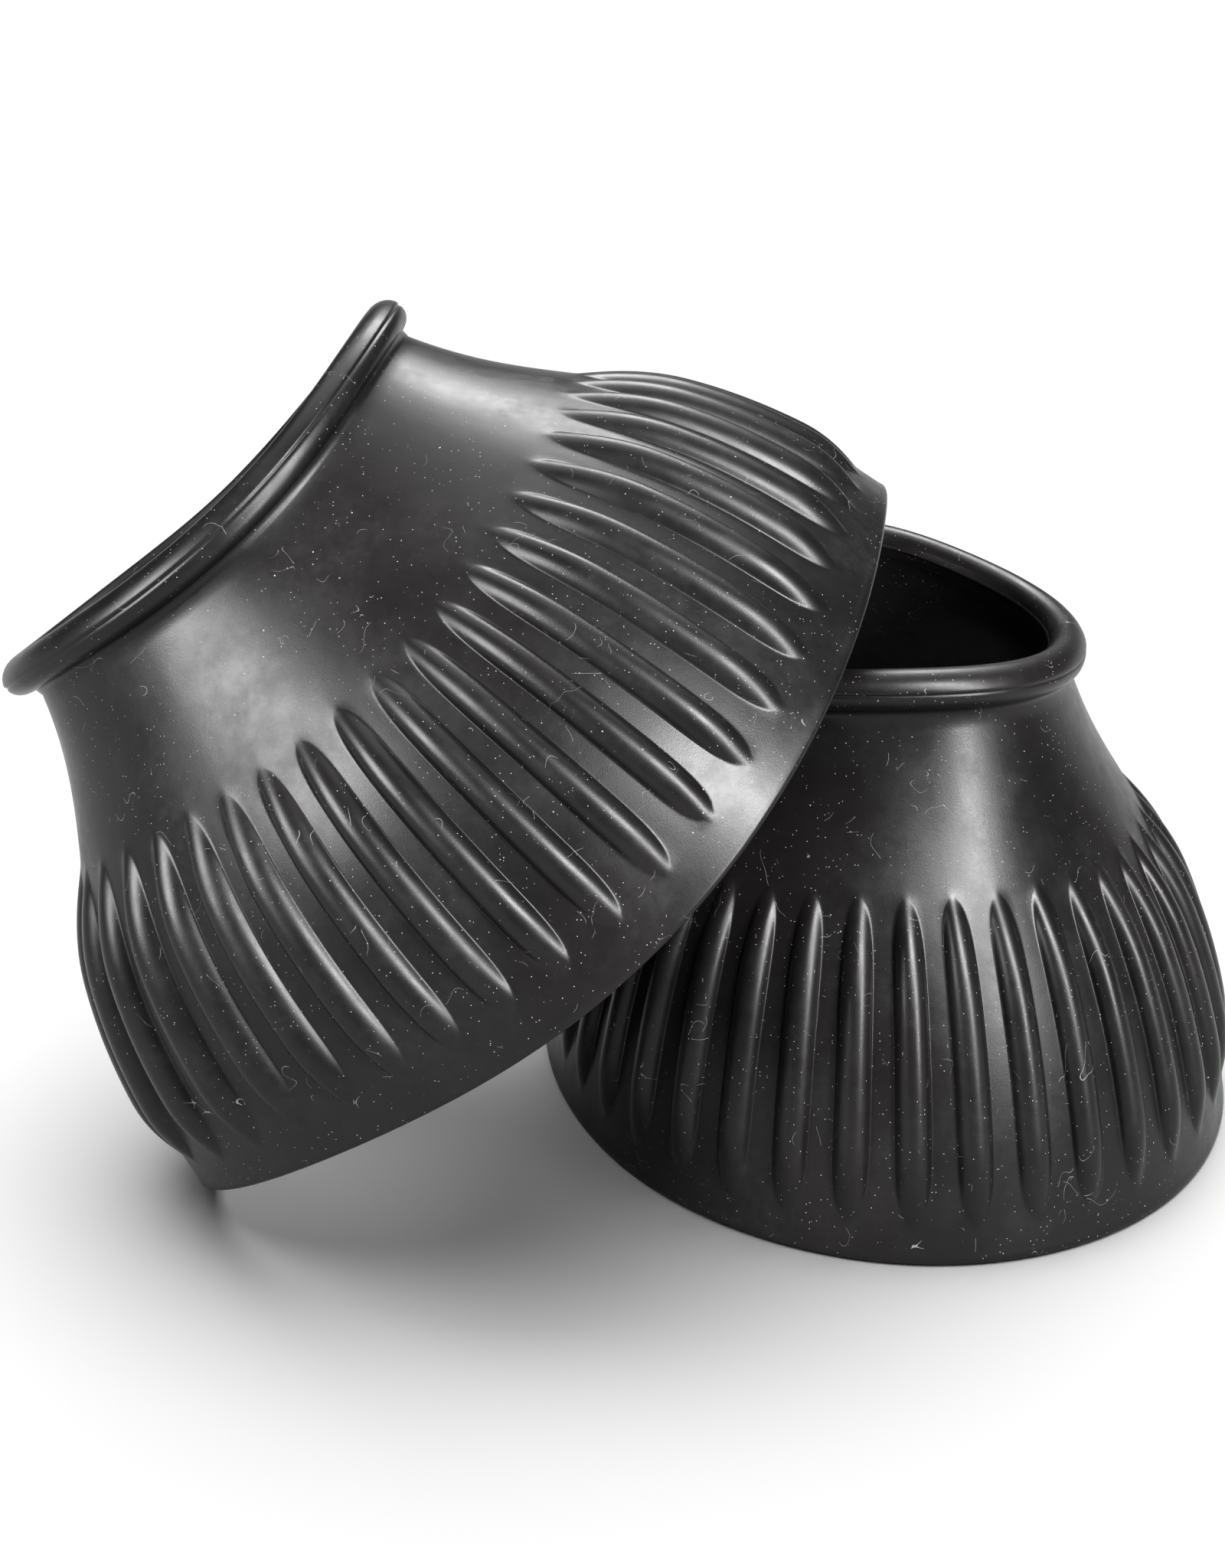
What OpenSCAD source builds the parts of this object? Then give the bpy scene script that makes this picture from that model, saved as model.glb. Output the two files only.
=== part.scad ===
// A pair of ribbed pull-on bell boots for a horse, in soft rubber.
// One boot stands on its hem. The other is tipped over its shoulder, hem edge on the floor.
// Each boot is one moulding: rim bead, concave neck, flared skirt with raised ribs, plain hem.
// Both boots are the same moulding, pushed out of round in different ways.
// A boot's own axis is Z, with its hem at Z = 0. A direction on a boot is an angle from its X.

/* [Boot] */
// Outside diameter of the hem
hem_d = 190; // [150:1:240]
// Height of the rim bead's centre above the hem
rim_z = 118.5; // [95:0.5:145]
// Diameter of the circle that the rim bead is centred on
rim_d = 98.5; // [78:0.5:118]
// Diameter of the rim bead
bead_d = 9.5; // [8:0.5:14]
// Step from the bead's centre circle out to the outside of the neck
neck_step = 0; // [0:0.1:3]
// Thickness of the wall
wall = 4.5; // [3:0.1:6]

/* [Skirt curve] */
// How far the skirt has drawn in at the height of its pull
skirt_draw = 11; // [0:1:20]
// Height of the pull that makes the skirt steep at the hem
skirt_pull_z = 71; // [50:1:85]
// How far outside the neck the pull of the concave neck sits
neck_draw = 11.8; // [4:0.2:20]
// Height of the pull that makes the neck concave
neck_pull_z = 73; // [55:1:90]

/* [Ribs] */
// Number of ribs around the skirt
rib_count = 40; // [24:1:48]
// How far a rib stands out of the wall
rib_h = 3.3; // [1:0.1:4]
// Width of a rib at its foot
rib_w = 8.4; // [4:0.1:10]
// Height of the ribs' lower ends above the hem
rib_low_z = 10; // [5:1:25]
// Height of the ribs' upper ends above the hem
rib_high_z = 76; // [55:1:90]
// Length over which a rib's end rises out of the wall
rib_tip = 18; // [8:1:24]

/* [Standing boot] */
// Share by which the rim is longer one way than round
stand_rim_oval = 0.126; // [0:0.001:0.15]
// Direction of the rim's long way
stand_rim_oval_dir = 98; // [0:1:180]
// Share by which the rim bulges at three places, one of them its tight corner
stand_rim_tri = 0.074; // [0:0.002:0.09]
// Direction of the rim's tight corner
stand_rim_tri_dir = -12; // [-60:1:60]
// Share by which the rim bulges at four places
stand_rim_quad = 0.035; // [0:0.005:0.05]
// Direction of one of the four bulges
stand_rim_quad_dir = 26; // [0:1:90]
// Share by which the hem is longer one way than round
stand_hem_oval = 0.087; // [0:0.001:0.1]
// Direction of the hem's long way
stand_hem_oval_dir = 99; // [0:1:180]
// How far the rim rises at the two ends of its saddle
stand_rim_sag = 3.3; // [0:0.1:6]
// Direction in which the rim rises
stand_rim_sag_dir = 97; // [0:1:180]
// How far the neck leans away from the other boot, along the boot's X
stand_neck_lean = -4.7; // [-8:0.1:8]
// How far the other boot presses the rim in
stand_dent = 8; // [0:0.5:10]
// Direction of the place where the rim is pressed in
stand_dent_dir = 112; // [90:1:140]
// Angle over which the pressed place fades out
stand_dent_fade = 38; // [25:1:50]
// Direction of the first rib
stand_rib_dir = 6.5; // [0:0.1:9]

/* [Leaning boot] */
// Share by which the rim is longer one way than round
lean_rim_oval = 0.224; // [0:0.001:0.35]
// Direction of the rim's long way
lean_rim_oval_dir = 39; // [0:1:70]
// Share by which the rim bulges at three places
lean_rim_tri = 0.078; // [0:0.002:0.16]
// Direction of one of the three bulges
lean_rim_tri_dir = 69; // [0:1:120]
// Share by which the rim bulges at four places
lean_rim_quad = 0.025; // [0:0.005:0.08]
// Direction of one of the four bulges
lean_rim_quad_dir = 0; // [-45:1:45]
// Share by which the hem is longer one way than round
lean_hem_oval = 0.184; // [0:0.001:0.23]
// Direction of the hem's long way
lean_hem_oval_dir = 30; // [0:1:60]
// Share by which the hem bulges at three places
lean_hem_tri = 0.08; // [0:0.001:0.1]
// Direction of one of the three bulges
lean_hem_tri_dir = 69; // [0:1:120]
// Share by which the hem bulges at four places
lean_hem_quad = 0.0135; // [0:0.0005:0.03]
// Direction of one of the four bulges
lean_hem_quad_dir = 1; // [-45:1:45]
// How far the rim rises at the two ends of its saddle
lean_rim_sag = 3.5; // [0:0.1:8]
// Direction in which the rim rises
lean_rim_sag_dir = 24; // [0:1:60]
// How far the hem rises at the two ends of its saddle
lean_hem_sag = 7.9; // [0:0.1:12]
// Direction in which the hem rises
lean_hem_sag_dir = 20; // [0:1:60]
// How far the neck leans along the boot's X
lean_neck_x = -5.6; // [-12:0.1:8]
// How far the neck leans along the boot's Y
lean_neck_y = 12.3; // [-10:0.1:16]
// Gap where the spread skirt passes the other boot's rim
rest_gap = 4; // [1:0.5:10]
// Reach of the skirt behind the other boot before it is spread
lean_reach = 34; // [30:1:40]
// Direction of the place where the skirt is spread
lean_spread_dir = 70; // [60:1:100]
// Angle over which the spread place fades out
lean_spread_fade = 36; // [25:1:50]
// Direction of the first rib
lean_rib_dir = 3.9; // [0:0.1:9]
// Tip of the boot's axis from upright
lean_tip = 44.1; // [38:0.1:48]
// Roll of the boot about its own X
lean_roll = -1.9; // [-5:0.1:5]
// Turn of the tipped boot about the vertical
lean_turn = -8; // [-12:0.5:0]
// Distance from the standing boot's axis to the hem's centre, to the left
lean_left = 77.8; // [75:0.1:90]
// Distance from the standing boot's axis to the hem's centre, to the front
lean_front = 39.9; // [25:0.1:48]

/* [Hidden] */

hem_r = hem_d / 2;
rim_r = rim_d / 2;
bead_r = bead_d / 2;
neck_r = rim_r + neck_step;
pitch = 360 / rib_count;

// The wall's outside from hem to bead is one cubic curve through (radius, height).
neck_top_z = rim_z - sqrt(bead_r * bead_r - neck_step * neck_step);
c0 = [hem_r, 0];
c1 = [hem_r - skirt_draw, skirt_pull_z];
c2 = [neck_r + neck_draw, neck_pull_z];
c3 = [neck_r, neck_top_z];

function curve(t) =
    pow(1 - t, 3) * c0 + 3 * pow(1 - t, 2) * t * c1
    + 3 * (1 - t) * t * t * c2 + pow(t, 3) * c3;

function slope(t) =
    pow(1 - t, 2) * (c1 - c0) + 2 * (1 - t) * t * (c2 - c1) + t * t * (c3 - c2);

// Point of the wall's inside that faces a point of the outside
function inside(t) =
    let (d = slope(t), n = [d.y, -d.x] / norm(d), p = curve(t) - wall * n)
    [p.x, max(0, p.y)];

// Where along the curve a height is reached, by halving
function at_height(z, low = 0, high = 1, steps = 18) =
    steps == 0 ? (low + high) / 2
    : curve((low + high) / 2).y < z ? at_height(z, (low + high) / 2, high, steps - 1)
    : at_height(z, low, (low + high) / 2, steps - 1);

// How much of its height a rib has at a distance from its nearer end: a parabola
function rib_rise(d) = d >= rib_tip ? 1 : 1 - pow(1 - d / rib_tip, 2);

// The section of the moulding as one closed loop of [radius, height, rib share]
rib_length = rib_high_z - rib_low_z;
rib_marks = [0, rib_tip / 4, rib_tip, rib_length * 0.4, rib_length * 0.6,
             rib_length - rib_tip, rib_length - rib_tip / 4, rib_length];
rib_rings = [for (m = rib_marks)
    let (p = curve(at_height(rib_low_z + m)))
    [p.x, p.y, rib_rise(min(m, rib_length - m))]];

neck_steps = 4;
neck_start = at_height(rib_high_z);
neck_rings = [for (i = [1:neck_steps])
    let (p = curve(neck_start + (1 - neck_start) * i / neck_steps))
    [p.x, p.y, 0]];

bead_steps = 9;
bead_from = atan2(neck_top_z - rim_z, neck_step);
bead_to = 360 + atan2(inside(1).y - rim_z, inside(1).x - rim_r);
bead_rings = [for (i = [1:bead_steps - 1])
    let (a = bead_from + (bead_to - bead_from) * i / bead_steps)
    [rim_r + bead_r * cos(a), rim_z + bead_r * sin(a), 0]];

inner_steps = 7;
inner_rings = [for (i = [0:inner_steps])
    let (p = inside(1 - i / inner_steps))
    [p.x, p.y, 0]];

section = concat([[hem_r, 0, 0]], rib_rings, neck_rings, bead_rings, inner_rings);

// Three columns of points to a rib: its foot, its crest and its other foot
rib_half = rib_w / hem_r * 90 / PI;
columns = [for (k = [0:rib_count - 1]) each
    [[k * pitch - rib_half, 0], [k * pitch, 1], [k * pitch + rib_half, 0]]];

// A wave with n crests around the boot, as [share outwards, share along the circle].
// The second number keeps the rubber from stretching along the circle.
function wave(n, share, dir, a) = share * [cos(n * (a - dir)), -sin(n * (a - dir)) / n];

// A smooth bump around a direction, 1 at its middle
function bump(a, dir, fade) = exp(-pow((((a - dir + 540) % 360) - 180) / fade, 2));

// Moves one point of the round boot to its place on the pushed boot, hem still level
function push(r, a, z, w, lean) =
    let (out = 1 + w[0], along = w[1])
    [r * (out * cos(a) - along * sin(a)) + lean.x,
     r * (out * sin(a) + along * cos(a)) + lean.y,
     z];

function stand_point(r, z, a) =
    let (u = z / rim_z,
         w = u * wave(2, stand_rim_oval, stand_rim_oval_dir, a)
           + (1 - u) * wave(2, stand_hem_oval, stand_hem_oval_dir, a)
           + u * wave(3, stand_rim_tri, stand_rim_tri_dir, a)
           + u * wave(4, stand_rim_quad, stand_rim_quad_dir, a),
         dent = stand_dent * bump(a, stand_dent_dir, stand_dent_fade) * u * u,
         rise = u * stand_rim_sag * cos(2 * (a - stand_rim_sag_dir)))
    push(r - dent, a, z + rise, w, u * u * [stand_neck_lean, 0]);

// The skirt is spread just enough to pass the other boot's rim with the rest gap.
lean_spread = rim_r + bead_r + rest_gap - lean_reach;

function lean_point(r, z, a) =
    let (u = z / rim_z,
         w = u * wave(2, lean_rim_oval, lean_rim_oval_dir, a)
           + (1 - u) * wave(2, lean_hem_oval, lean_hem_oval_dir, a)
           + u * wave(3, lean_rim_tri, lean_rim_tri_dir, a)
           + (1 - u) * wave(3, lean_hem_tri, lean_hem_tri_dir, a)
           + u * wave(4, lean_rim_quad, lean_rim_quad_dir, a)
           + (1 - u) * wave(4, lean_hem_quad, lean_hem_quad_dir, a),
         fade = pow(max(0, 1 - u), 0.8),
         spread = lean_spread * bump(a, lean_spread_dir, lean_spread_fade) * fade,
         rise = u * lean_rim_sag * cos(2 * (a - lean_rim_sag_dir))
              + (1 - u) * lean_hem_sag * cos(2 * (a - lean_hem_sag_dir)))
    push(r + spread, a, z + rise, w, u * u * [lean_neck_x, lean_neck_y]);

// Roll about X, then tip about Y, then turn about Z
function rolled(p) =
    [p.x, p.y * cos(lean_roll) - p.z * sin(lean_roll), p.y * sin(lean_roll) + p.z * cos(lean_roll)];
function tipped(p) =
    [p.x * cos(lean_tip) - p.z * sin(lean_tip), p.y, p.x * sin(lean_tip) + p.z * cos(lean_tip)];
function turned(p) =
    [p.x * cos(lean_turn) - p.y * sin(lean_turn), p.x * sin(lean_turn) + p.y * cos(lean_turn), p.z];

stand_points = [for (s = section) for (c = columns)
    stand_point(s[0] + s[2] * c[1] * rib_h, s[1], c[0] + stand_rib_dir)];
lean_loose = [for (s = section) for (c = columns)
    turned(tipped(rolled(lean_point(s[0] + s[2] * c[1] * rib_h, s[1], c[0] + lean_rib_dir))))];

// The tipped boot is let down until its hem touches the floor.
lean_drop = min([for (p = lean_loose) p.z]);
lean_points = [for (p = lean_loose) p + [-lean_left, -lean_front, -lean_drop]];

// The origin is on the floor, under the middle of the pair.
all_points = concat(stand_points, lean_points);
middle_x = (min([for (p = all_points) p.x]) + max([for (p = all_points) p.x])) / 2;
middle_y = (min([for (p = all_points) p.y]) + max([for (p = all_points) p.y])) / 2;
floor_middle = [middle_x, middle_y, 0];

// Two triangles for each gap between neighbouring rings and columns; the section is a loop.
ring_count = len(section);
column_count = len(columns);
skin = [for (i = [0:ring_count - 1]) for (j = [0:column_count - 1])
    let (i2 = (i + 1) % ring_count,
         j2 = (j + 1) % column_count,
         a = i * column_count + j,
         b = i * column_count + j2,
         c = i2 * column_count + j2,
         d = i2 * column_count + j)
    each [[a, c, b], [a, d, c]]];

module standing_boot() {
    color("#1d1c1e")
    polyhedron([for (p = stand_points) p - floor_middle], skin);
}

module leaning_boot() {
    color("#232224")
    polyhedron([for (p = lean_points) p - floor_middle], skin);
}

standing_boot();
leaning_boot();
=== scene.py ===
"""A pair of ribbed pull-on bell boots in black rubber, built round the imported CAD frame.

Each boot is one moulding, so each is one continuous mesh: a fine version of the CAD node's
surface, with rounded ribs, the bead's parting line and flash, and a rounded hem.
The moulding is worked out in millimetres, and add_boot turns it to metres. The studio is in metres.
"""

import math

import bpy
import numpy as np
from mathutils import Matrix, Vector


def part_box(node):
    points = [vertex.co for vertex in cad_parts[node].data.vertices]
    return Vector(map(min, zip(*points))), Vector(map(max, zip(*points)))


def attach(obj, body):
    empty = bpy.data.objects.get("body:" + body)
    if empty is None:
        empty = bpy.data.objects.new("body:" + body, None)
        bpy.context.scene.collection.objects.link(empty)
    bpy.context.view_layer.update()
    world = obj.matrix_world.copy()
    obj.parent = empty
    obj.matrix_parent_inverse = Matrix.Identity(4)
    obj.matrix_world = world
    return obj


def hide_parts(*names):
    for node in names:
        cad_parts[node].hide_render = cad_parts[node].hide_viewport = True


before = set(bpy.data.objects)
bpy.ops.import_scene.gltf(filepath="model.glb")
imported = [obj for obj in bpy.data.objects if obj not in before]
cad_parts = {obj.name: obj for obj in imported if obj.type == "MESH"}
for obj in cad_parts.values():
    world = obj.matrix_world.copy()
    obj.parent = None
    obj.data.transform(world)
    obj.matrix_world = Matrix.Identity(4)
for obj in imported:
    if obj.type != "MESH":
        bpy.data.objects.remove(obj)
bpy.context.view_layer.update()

# ---------------------------------------------------------------- sizes of the moulding
HEM_R = 95.0
RIM_Z = 118.5
RIM_R = 49.25
BEAD_R = 4.75
NECK_STEP = 0.0
WALL = 4.5
NECK_R = RIM_R + NECK_STEP
NECK_TOP_Z = RIM_Z - math.sqrt(BEAD_R**2 - NECK_STEP**2)
CURVE = np.array(
    [
        (HEM_R, 0.0),
        (HEM_R - 11.0, 71.0),
        (NECK_R + 11.8, 73.0),
        (NECK_R, NECK_TOP_Z),
    ]
)
RIBS = 40
PITCH = 360 / RIBS
RIB_LOW_Z, RIB_HIGH_Z = 9.5, 76.5
RIB_LOW_TIP, RIB_HIGH_TIP = 17.0, 22.0
RIB_RADIUS = 4.2  # of the round bar that a rib is
RIB_THIN = 0.75  # how much less it is at the upper end
RIB_H = 3.3
RIB_FILLET = 0.35
RIB_THIN_FROM_Z = 25
HEM_ROUND = 1.3
HEM_EDGE_R = HEM_R - 0.1  # the rounded hem lies just inside the sharp one
NECK_END = 0.985  # t where the wall stops and the bead starts
EVEN_BELOW_Z = 12  # the unevenness fades out from here down to the hem
FAR_FROM_RIB = 60.0
HEM_ROWS, BAND_ROWS, RIB_ROWS, NECK_ROWS, INSIDE_ROWS, INNER_HEM_ROWS = 6, 6, 46, 16, 18, 5

# ---------------------------------------------------------------- how the soft rubber lies at rest
# waves round a boot as (how many, share of the radius, direction in degrees)
STAND_RIM_WAVES = [(2, 0.126, 98), (3, 0.074, -12), (4, 0.035, 26)]
STAND_HEM_WAVES = [(2, 0.087, 99)]
LEAN_RIM_WAVES = [(2, 0.224, 39), (3, 0.078, 69), (4, 0.025, 0)]
LEAN_HEM_WAVES = [(2, 0.184, 30), (3, 0.080, 69), (4, 0.0135, 1)]
# height of a sag in mm and its direction in degrees
STAND_RIM_SAG = (3.3, 97)
LEAN_RIM_SAG = (3.5, 24)
LEAN_HEM_SAG = (7.9, 20)
# depth in mm, direction and fade in degrees
STAND_DENT = (8.0, 112, 38)
LEAN_SPREAD = (24.0, 70, 36)
SPREAD_POWER = 0.8  # how fast the spread dies away towards the rim
# how far the neck leans at the rim, in mm along x and y
STAND_NECK = (-4.7, 0.0)
LEAN_NECK = (-5.6, 12.3)
# the tipped boot's turns about x, y and z, in degrees
LEAN_TURNS = (-1.9, 44.1, -8.0)
# direction of the first rib in degrees, and the seed of the wall's unevenness
STAND_FIRST_RIB, STAND_SEED = 6.5, 3
LEAN_FIRST_RIB, LEAN_SEED = 3.9, 8
# unevenness of the wall as (waves round it, half waves up it, size in mm)
UNEVENNESS = [(2, 0.7, 0.30), (3, 1.1, 0.24), (5, 1.6, 0.08)]

# ---------------------------------------------------------------- camera, from the standing boot's axis
CAMERA_AT = np.array([-79.7, -605.9, 353.3])
CAMERA_LOOK_DOWN = 0.431  # radians under the level
CAMERA_TURN = -0.017
CAMERA_LENS, CAMERA_SENSOR = 61.0, 36.0


def curve(t):
    """Points (radius, height) on the wall's outside, t from 0 at the hem to 1 at the bead."""
    t = np.asarray(t, float)[..., None]
    return (
        (1 - t) ** 3 * CURVE[0]
        + 3 * (1 - t) ** 2 * t * CURVE[1]
        + 3 * (1 - t) * t * t * CURVE[2]
        + t**3 * CURVE[3]
    )


def normal(t):
    """Unit normals of the wall, pointing outwards."""
    t = np.asarray(t, float)[..., None]
    d = (
        (1 - t) ** 2 * (CURVE[1] - CURVE[0])
        + 2 * (1 - t) * t * (CURVE[2] - CURVE[1])
        + t * t * (CURVE[3] - CURVE[2])
    )
    n = np.stack([d[..., 1], -d[..., 0]], -1)
    return n / np.linalg.norm(n, axis=-1, keepdims=True)


def curve_at_height(z):
    """The t at which the wall has a height."""
    t = np.linspace(0, 1, 2001)
    return np.interp(z, curve(t)[:, 1], t)


# ---------------------------------------------------------------- how each boot is pushed out of round
def wave(n, share, direction, a):
    """Outward and sideways parts of n waves round the boot, the first crest at a direction."""
    phase = n * (a - math.radians(direction))
    return share * np.cos(phase), -share * np.sin(phase) / n


def bump(a, direction, fade):
    """1 at a direction, fading out on both sides."""
    off = (np.degrees(a) - direction + 540) % 360 - 180
    return np.exp(-((off / fade) ** 2))


def pushed(r, a, z, waves, lean):
    """Points at radius r, angle a and height z, pushed out of round by the waves and leaned over."""
    out, along = 1.0, 0.0
    for share, (w, v) in waves:
        out = out + share * w
        along = along + share * v
    c, s = np.cos(a), np.sin(a)
    return np.stack(
        np.broadcast_arrays(
            r * (out * c - along * s) + lean[0], r * (out * s + along * c) + lean[1], z
        ),
        -1,
    )


def waves_at(u, rim_waves, hem_waves, a):
    """The rim's waves fade in with the share u of the height, and the hem's fade out."""
    rim = [(u, wave(*values, a)) for values in rim_waves]
    hem = [(1 - u, wave(*values, a)) for values in hem_waves]
    return rim + hem


def sag(height, direction, a):
    """Rise along one direction and both its ends, and fall across it."""
    return height * np.cos(2 * (a - math.radians(direction)))


def standing_shape(r, z, a):
    u = z / RIM_Z
    depth, direction, fade = STAND_DENT
    dent = depth * bump(a, direction, fade) * u * u
    rise = u * sag(*STAND_RIM_SAG, a)
    waves = waves_at(u, STAND_RIM_WAVES, STAND_HEM_WAVES, a)
    return pushed(r - dent, a, z + rise, waves, [u * u * way for way in STAND_NECK])


def leaning_shape(r, z, a):
    u = z / RIM_Z
    reach, direction, fade = LEAN_SPREAD
    spread = reach * bump(a, direction, fade) * np.maximum(0, 1 - u) ** SPREAD_POWER
    rise = u * sag(*LEAN_RIM_SAG, a) + (1 - u) * sag(*LEAN_HEM_SAG, a)
    waves = waves_at(u, LEAN_RIM_WAVES, LEAN_HEM_WAVES, a)
    p = pushed(r + spread, a, z + rise, waves, [u * u * way for way in LEAN_NECK])
    roll, tip, turn = (math.radians(angle) for angle in LEAN_TURNS)
    x, y, z = p[..., 0], p[..., 1], p[..., 2]
    y, z = y * math.cos(roll) - z * math.sin(roll), y * math.sin(roll) + z * math.cos(roll)
    x, z = x * math.cos(tip) - z * math.sin(tip), x * math.sin(tip) + z * math.cos(tip)
    x, y = x * math.cos(turn) - y * math.sin(turn), x * math.sin(turn) + y * math.cos(turn)
    return np.stack([x, y, z], -1)


# ---------------------------------------------------------------- section and columns of the mesh
PARTING = math.radians(7)  # the crease round the bead's outside
FLASH = math.radians(172)  # the thin seam round its inside


def bead_radius(a):
    """Radius of the bead at an angle round its section."""
    below = 0.5 - 0.5 * np.tanh((a - PARTING) / math.radians(3))
    groove = np.exp(-(((a - PARTING) / math.radians(4.5)) ** 2))
    seam = np.exp(-(((a - FLASH) / math.radians(4.5)) ** 2))
    return BEAD_R - 0.22 * below - 0.30 * groove + 0.38 * seam


def spaced(low, high, count, ends=1.0):
    """Numbers from low to high, closer together near both ends."""
    k = np.linspace(0, 1, count)
    eased = 0.5 - 0.5 * np.cos(math.pi * k)
    return low + (high - low) * (ends * eased + (1 - ends) * k)


def section():
    """The loop of (radius, height, t on the curve or -1) from the hem up the outside and back down."""
    rows = []
    # hem: rounded outer corner
    for k in np.linspace(0, math.pi / 2, HEM_ROWS):
        edge = HEM_EDGE_R - HEM_ROUND * (1 - math.sin(k))
        rows.append((edge, HEM_ROUND * (1 - math.cos(k)), -1))
    low, high = curve_at_height(HEM_ROUND + 1.2), curve_at_height(RIB_LOW_Z - 1)
    rows += [(*curve(t), t) for t in np.linspace(low, high, BAND_ROWS)]
    top = curve_at_height(RIB_HIGH_Z + 2)
    rows += [(*curve(t), t) for t in spaced(high, top, RIB_ROWS, 0.75)[1:]]
    rows += [(*curve(t), t) for t in np.linspace(top, NECK_END, NECK_ROWS)[1:]]
    # bead, from the neck's outside over the top to the wall's inside
    inner = curve(1.0) - WALL * normal(1.0)
    start = math.atan2(NECK_TOP_Z - RIM_Z, NECK_STEP) + math.radians(10)
    end = 2 * math.pi + math.atan2(inner[1] - RIM_Z, inner[0] - RIM_R) - math.radians(14)
    near, gap = math.radians(4), math.radians(16)
    stops = [start, PARTING - gap, PARTING - near, PARTING + near, PARTING + gap]
    stops += [FLASH - gap, FLASH - near, FLASH + near, FLASH + gap, end]
    counts = [8, 5, 6, 5, 11, 5, 5, 5, 4]
    angles = [start]
    for a, b, n in zip(stops, stops[1:], counts):
        angles += list(np.linspace(a, b, n)[1:])
    for a in angles:
        q = bead_radius(np.array(a))
        rows.append((RIM_R + q * math.cos(a), RIM_Z + q * math.sin(a), -1))
    # inside wall, down to the rounded inner corner of the hem
    for t in np.linspace(NECK_END, curve_at_height(HEM_ROUND + 1.5), INSIDE_ROWS):
        p = curve(t) - WALL * normal(t)
        rows.append((p[0], p[1], -1))
    foot = HEM_EDGE_R - WALL
    for k in np.linspace(math.pi / 2, 0, INNER_HEM_ROWS):
        rows.append((foot + HEM_ROUND * (1 - math.sin(k)), HEM_ROUND * (1 - math.cos(k)), -1))
    return np.array(rows)


def rib_bar(z):
    """Radius of the round bar at a height, and how far it stands out; under zero beyond its ends."""
    low = np.minimum((z - RIB_LOW_Z) / RIB_LOW_TIP, 1)
    high = np.minimum((RIB_HIGH_Z - z) / RIB_HIGH_TIP, 1)
    share_up = np.clip((z - RIB_THIN_FROM_Z) / (RIB_HIGH_Z - RIB_THIN_FROM_Z), 0, 1)
    radius = RIB_RADIUS - RIB_THIN * share_up**1.5
    return radius, RIB_H * np.minimum(1 - (1 - low) ** 2, 1 - (1 - high) ** 2)


def rib_foot(z):
    """Half the width of the rib where it meets the wall."""
    radius, out = rib_bar(z)
    out = np.clip(out, 0, None)
    return np.maximum(np.sqrt(out * (2 * radius - out)), 0.26 * radius)


def rib_height(x, z):
    """Height of the rib over the wall, x across it, with a small fillet at its foot."""
    radius, out = rib_bar(z)
    h = np.sqrt(np.maximum(radius**2 - x * x, 0)) - radius - 4 * np.maximum(np.abs(x) - radius, 0) + out
    near = (z > RIB_LOW_Z - 2.0) & (z < RIB_HIGH_Z + 2.5)
    smooth = 0.5 * (h + np.sqrt(h * h + RIB_FILLET**2))
    return np.where(near, np.maximum(smooth - 0.02, 0), 0)


# places across half a rib as shares of its half width, then across the valley beside it
HALF_RIB = np.array([0.2, 0.4, 0.58, 0.73, 0.85, 0.93, 0.98, 1.03, 1.09, 1.18, 1.32])
VALLEY = np.array([0.25, 0.5, 0.75])


def column_angles(r, z):
    """Angles of the columns in one pitch, in radians, for a wall of radius r at height z."""
    x = np.concatenate([-HALF_RIB[::-1], [0.0], HALF_RIB]) * rib_foot(z)
    edge = x[-1] / r
    gap = math.radians(PITCH) - 2 * edge
    return x / r, edge + gap * VALLEY, x


def undulation(a, z, seed):
    """Slow unevenness of the soft wall, in mm."""
    rng = np.random.default_rng(seed)
    total = 0.0
    for n, m, size in UNEVENNESS:
        p, q = rng.uniform(0, 2 * math.pi, 2)
        total = total + size * np.sin(n * a + p) * np.sin(m * math.pi * z / RIM_Z + q)
    return total


def boot_points(shape, first_rib, seed):
    """The grid of a boot's points in mm, rows round the section and columns round the boot."""
    rows = section()
    r = rows[:, 0]
    z = rows[:, 1]
    t = rows[:, 2]
    held_z = np.clip(z, RIB_LOW_Z, RIB_HIGH_Z)
    rib_r = np.interp(held_z, *(curve(np.linspace(0, 1, 400)).T[::-1]))
    grid_a, grid_x = [], []
    for radius, height in zip(rib_r, held_z):
        bar, valley, x = column_angles(radius, height)
        a = np.concatenate([bar, valley])
        xs = np.concatenate([x, np.full(len(valley), FAR_FROM_RIB)])
        grid_a.append(a)
        grid_x.append(xs)
    a1 = np.array(grid_a)
    x1 = np.array(grid_x)
    angle = np.concatenate([a1 + math.radians(PITCH) * k for k in range(RIBS)], axis=1)
    x = np.tile(x1, (1, RIBS))
    height = rib_height(x, z[:, None]) * (t[:, None] >= 0)
    n = np.where(t[:, None] >= 0, normal(np.clip(t, 0, 1)), 0.0)
    wave_in = undulation(angle, z[:, None], seed) * np.clip(z / EVEN_BELOW_Z, 0, 1)[:, None]
    rr = r[:, None] + height * n[:, :1] + wave_in
    zz = z[:, None] + height * n[:, 1:]
    return shape(rr, zz, angle + math.radians(first_rib))


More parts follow.
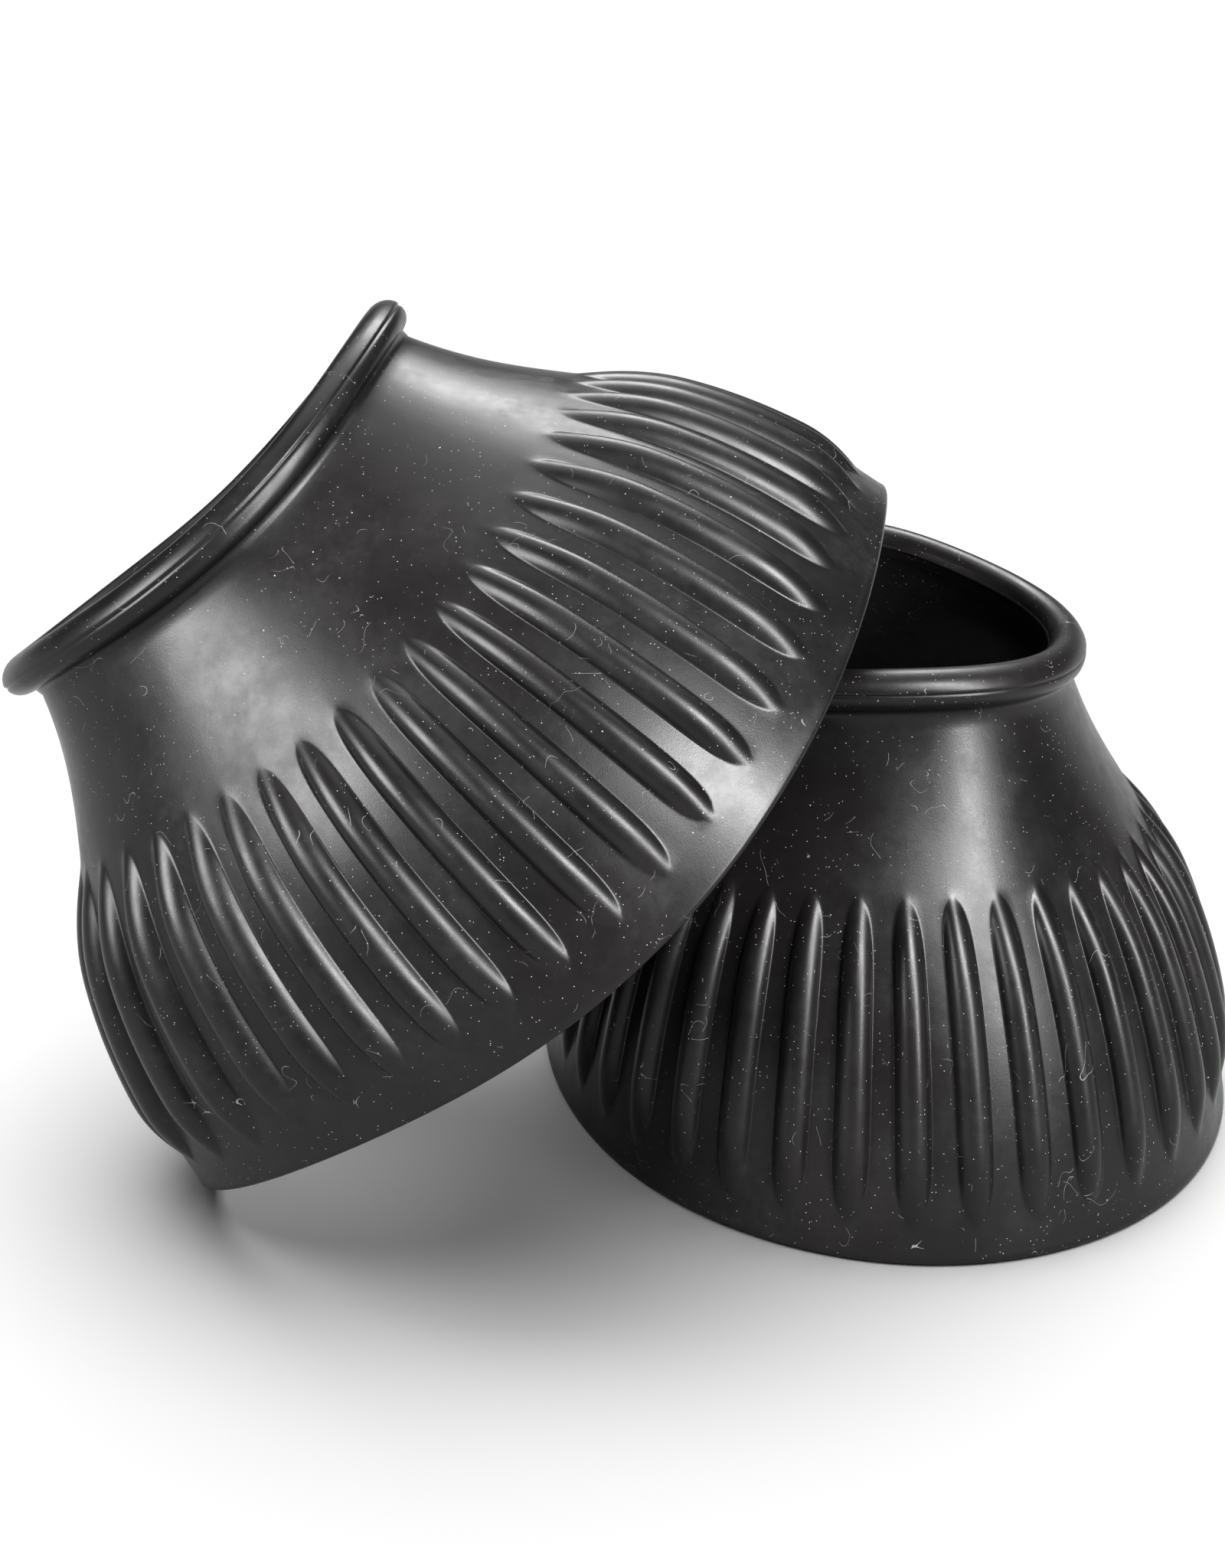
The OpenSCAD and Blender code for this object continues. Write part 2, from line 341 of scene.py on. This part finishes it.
def add_boot(name, points, offset):
    """One closed mesh from a grid of points in mm that joins up both ways."""
    n, m = points.shape[:2]
    verts = ((points.reshape(-1, 3) + offset) / 1000.0).astype(np.float32)
    i = np.arange(n)[:, None]
    j = np.arange(m)[None, :]
    i2, j2 = (i + 1) % n, (j + 1) % m
    quads = np.stack(np.broadcast_arrays(i * m + j, i * m + j2, i2 * m + j2, i2 * m + j), -1).reshape(-1, 4)
    mesh = bpy.data.meshes.new(name)
    mesh.vertices.add(len(verts))
    mesh.vertices.foreach_set("co", verts.ravel())
    mesh.loops.add(quads.size)
    mesh.loops.foreach_set("vertex_index", quads.ravel().astype(np.int32))
    mesh.polygons.add(len(quads))
    mesh.polygons.foreach_set("loop_start", np.arange(0, quads.size, 4, dtype=np.int32))
    mesh.polygons.foreach_set("use_smooth", np.ones(len(quads), bool))
    mesh.update(calc_edges=True)
    mesh.validate()
    obj = bpy.data.objects.new(name, mesh)
    bpy.context.scene.collection.objects.link(obj)
    return obj


# ---------------------------------------------------------------- place both boots in the frame
stand = boot_points(standing_shape, STAND_FIRST_RIB, STAND_SEED)
lean = boot_points(leaning_shape, LEAN_FIRST_RIB, LEAN_SEED)


def onto(points, node):
    """The shift that puts a boot's box on its CAD node's box, resting at the same height."""
    low, high = (np.array(c) * 1000 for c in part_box(node))
    flat = points.reshape(-1, 3)
    shift = (low + high) / 2 - (flat.min(0) + flat.max(0)) / 2
    shift[2] = low[2] - flat[:, 2].min()
    return shift


standing = add_boot("standing_boot_rubber", stand, onto(stand, "standing_boot"))
leaning = add_boot("leaning_boot_rubber", lean, onto(lean, "leaning_boot"))


# ---------------------------------------------------------------- rubber
def new_material(name):
    m = bpy.data.materials.new(name)
    m.use_nodes = True
    m.node_tree.nodes.clear()
    return m, m.node_tree


def rubber(name, seed):
    """Satin black rubber with bloom, dust and lint, all procedural."""
    m, tree = new_material(name)
    nodes, links = tree.nodes, tree.links

    def node(kind, **values):
        n = nodes.new(kind)
        for key, value in values.items():
            setattr(n, key, value)
        return n

    def noise(scale, detail=4.0, rough=0.55, shift=0.0):
        at = node("ShaderNodeMapping")
        at.inputs["Location"].default_value = (shift + seed, shift * 0.7, seed * 0.3)
        links.new(coord.outputs["Object"], at.inputs["Vector"])
        n = node("ShaderNodeTexNoise")
        n.inputs["Scale"].default_value = scale
        n.inputs["Detail"].default_value = detail
        n.inputs["Roughness"].default_value = rough
        links.new(at.outputs["Vector"], n.inputs["Vector"])
        return n.outputs["Fac"]

    def ramp(value, stops):
        n = node("ShaderNodeValToRGB")
        n.color_ramp.elements[0].position = stops[0][0]
        n.color_ramp.elements[0].color = (*[stops[0][1]] * 3, 1)
        n.color_ramp.elements[1].position = stops[-1][0]
        n.color_ramp.elements[1].color = (*[stops[-1][1]] * 3, 1)
        for pos, level in stops[1:-1]:
            e = n.color_ramp.elements.new(pos)
            e.color = (level, level, level, 1)
        links.new(value, n.inputs["Fac"])
        return n.outputs["Color"]

    def math_node(op, a, b):
        n = node("ShaderNodeMath", operation=op)
        for socket, value in zip(n.inputs, (a, b)):
            if isinstance(value, (int, float)):
                socket.default_value = value
            else:
                links.new(value, socket)
        return n.outputs[0]

    def mix_colour(factor, a, b):
        n = node("ShaderNodeMix", data_type="RGBA")
        links.new(factor, n.inputs["Factor"])
        for socket, value in ((n.inputs[6], a), (n.inputs[7], b)):
            if isinstance(value, tuple):
                socket.default_value = (*value, 1)
            else:
                links.new(value, socket)
        return n.outputs[2]

    coord = node("ShaderNodeTexCoord")
    shader = node("ShaderNodeBsdfPrincipled")
    out = node("ShaderNodeOutputMaterial")
    links.new(shader.outputs["BSDF"], out.inputs["Surface"])

    # base: charcoal black, a little browner in slow patches
    slow = ramp(noise(14.0, 3.0), [(0.35, 0.0), (0.65, 1.0)])
    base = mix_colour(slow, (0.0024, 0.0022, 0.0025), (0.0040, 0.0034, 0.0035))

    # bloom: a thin greyish haze in fine mottled patches
    haze = math_node(
        "MULTIPLY",
        ramp(noise(38.0, 6.0, 0.65, 3.1), [(0.42, 0.0), (0.72, 1.0)]),
        ramp(noise(420.0, 3.0, 0.6, 1.7), [(0.35, 0.3), (0.7, 1.0)]),
    )
    base = mix_colour(math_node("MULTIPLY", haze, 0.30), base, (0.012, 0.0115, 0.012))

    # dust: small specks, thicker in some places
    def specks(scale, size, shift, patch_scale, patch_low):
        at = node("ShaderNodeMapping")
        at.inputs["Location"].default_value = (shift, seed + shift, 0.4)
        links.new(coord.outputs["Object"], at.inputs["Vector"])
        v = node("ShaderNodeTexVoronoi")
        v.inputs["Scale"].default_value = scale
        links.new(at.outputs["Vector"], v.inputs["Vector"])
        dot = ramp(v.outputs["Distance"], [(size * 0.5, 1.0), (size, 0.0)])
        keep = node("ShaderNodeSeparateColor")
        links.new(v.outputs["Color"], keep.inputs["Color"])
        some = ramp(keep.outputs[0], [(0.80, 0.0), (0.84, 1.0)])
        patch = ramp(noise(patch_scale, 3.0, 0.6, shift), [(patch_low, 0.0), (patch_low + 0.12, 1.0)])
        return math_node("MULTIPLY", math_node("MULTIPLY", dot, some), patch)

    small = specks(1250.0, 0.17, 2.3, 30.0, 0.38)
    large = specks(480.0, 0.10, 5.9, 22.0, 0.45)
    dust = math_node("MAXIMUM", small, large)

    # lint: short curling hairs, where a thin contour of one noise meets a patch of another
    def hairs(scale, shift, patch_scale, patch_low):
        n = noise(scale, 0.0, 0.0, shift)
        line = ramp(n, [(0.4978, 0.0), (0.500, 1.0), (0.5022, 0.0)])
        patch = ramp(noise(patch_scale, 1.0, 0.4, shift + 2), [(patch_low, 0.0), (patch_low + 0.015, 1.0)])
        return math_node("MULTIPLY", line, patch)

    lint = math_node("MAXIMUM", hairs(150.0, 7.3, 95.0, 0.66), hairs(230.0, 9.1, 120.0, 0.68))
    dirt = math_node("MAXIMUM", dust, math_node("MULTIPLY", lint, 0.55))
    base = mix_colour(dirt, base, (0.22, 0.215, 0.21))
    links.new(base, shader.inputs["Base Color"])

    # satin finish, duller where it is dusty or scuffed
    scuff = ramp(noise(60.0, 8.0, 0.7, 4.4), [(0.40, 0.0), (0.70, 1.0)])
    rough = math_node("ADD", 0.29, math_node("MULTIPLY", scuff, 0.10))
    rough = math_node("ADD", rough, math_node("MULTIPLY", haze, 0.14))
    rough = math_node("ADD", rough, math_node("MULTIPLY", dirt, 0.30))
    links.new(rough, shader.inputs["Roughness"])
    shader.inputs["IOR"].default_value = 1.52
    shader.inputs["Specular IOR Level"].default_value = 0.21

    # fine moulded skin, and dust standing on it
    grain = math_node("MULTIPLY", noise(2600.0, 3.0, 0.6, 6.6), 0.5)
    soft = math_node("MULTIPLY", noise(160.0, 4.0, 0.5, 8.8), 0.25)
    relief = math_node("ADD", math_node("ADD", grain, soft), math_node("MULTIPLY", dirt, 0.6))
    lift = node("ShaderNodeBump")
    lift.inputs["Strength"].default_value = 0.22
    lift.inputs["Distance"].default_value = 0.00018
    links.new(relief, lift.inputs["Height"])
    links.new(lift.outputs["Normal"], shader.inputs["Normal"])
    return m


for obj, body, node_name, slot_name, seed in (
    (standing, "standing", "standing_boot", "standing_rubber", 1.0),
    (leaning, "leaning", "leaning_boot", "leaning_rubber", 4.0),
):
    obj.data.materials.append(rubber(slot_name, seed))
    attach(obj, body)
    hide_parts(node_name)


# ---------------------------------------------------------------- floor, light and camera
def plane(name, size, at):
    half = size / 2
    mesh = bpy.data.meshes.new(name)
    mesh.from_pydata(
        [(-half, -half, 0), (half, -half, 0), (half, half, 0), (-half, half, 0)], [], [(0, 1, 2, 3)]
    )
    obj = bpy.data.objects.new(name, mesh)
    obj.location = at
    bpy.context.scene.collection.objects.link(obj)
    return obj


FLOOR_SIZE = 60.0
floor = plane("floor", FLOOR_SIZE, (0, 0, 0))
white, white_tree = new_material("floor_white")
paint = white_tree.nodes.new("ShaderNodeBsdfPrincipled")
paint.inputs["Base Color"].default_value = (0.92, 0.92, 0.92, 1)
paint.inputs["Roughness"].default_value = 0.6
white_out = white_tree.nodes.new("ShaderNodeOutputMaterial")
white_tree.links.new(paint.outputs["BSDF"], white_out.inputs["Surface"])
floor.data.materials.append(white)

world = bpy.data.worlds.new("studio")
bpy.context.scene.world = world
world.use_nodes = True
world.node_tree.nodes["Background"].inputs["Color"].default_value = (1, 1, 1, 1)
world.node_tree.nodes["Background"].inputs["Strength"].default_value = 0.06

MIDDLE = np.array([0.0, 0.0, 0.09])  # what the softboxes look at


def softbox(name, azimuth, elevation, distance, width, height, power):
    """An area light that looks at the boots' middle. Azimuth 0 is in front, 90 to the right."""
    az, el = math.radians(azimuth), math.radians(elevation)
    away = np.array([math.sin(az) * math.cos(el), -math.cos(az) * math.cos(el), math.sin(el)])
    light = bpy.data.lights.new(name, "AREA")
    light.shape = "RECTANGLE"
    light.size, light.size_y = width, height
    light.energy = power
    obj = bpy.data.objects.new(name, light)
    obj.location = MIDDLE + away * distance
    obj.rotation_euler = (math.radians(90 - elevation), 0, az)
    obj.visible_camera = False
    obj.light_linking.receiver_collection = boots_only
    bpy.context.scene.collection.objects.link(obj)
    return obj


# The softboxes light the boots alone, so that the floor keeps one even white.
boots_only = bpy.data.collections.new("lit_by_softboxes")
boots_only.objects.link(standing)
boots_only.objects.link(leaning)
softbox("right_strip", 40, 27, 1.4, 0.19, 0.85, 44)
softbox("right_high", 28, 48, 1.5, 0.40, 0.34, 40)
softbox("left_box", -60, 28, 1.4, 0.48, 0.60, 38)
softbox("back_box", 172, 46, 1.6, 0.70, 0.50, 22)


def overhead(name, energy, tilt):
    """A broad soft light from above, tilted back by tilt degrees."""
    light = bpy.data.lights.new(name, "SUN")
    light.energy = energy
    light.angle = math.radians(60)
    obj = bpy.data.objects.new(name, light)
    obj.rotation_euler = (math.radians(-tilt), 0, 0)
    bpy.context.scene.collection.objects.link(obj)
    return obj


overhead("overhead", 1.9, 30)
floor_only = bpy.data.collections.new("lit_floor")
floor_only.objects.link(floor)
overhead("floor_light", 2.0, 0).light_linking.receiver_collection = floor_only

camera = bpy.data.cameras.new("camera")
camera.sensor_fit = "VERTICAL"
camera.sensor_height = CAMERA_SENSOR
camera.lens = CAMERA_LENS
camera_obj = bpy.data.objects.new("camera", camera)
bpy.context.scene.collection.objects.link(camera_obj)
stand_axis = onto(stand, "standing_boot")
camera_obj.location = (CAMERA_AT + stand_axis) / 1000
camera_obj.rotation_euler = (math.pi / 2 - CAMERA_LOOK_DOWN, 0, CAMERA_TURN)
bpy.context.scene.camera = camera_obj
bpy.context.scene.view_settings.view_transform = "Standard"
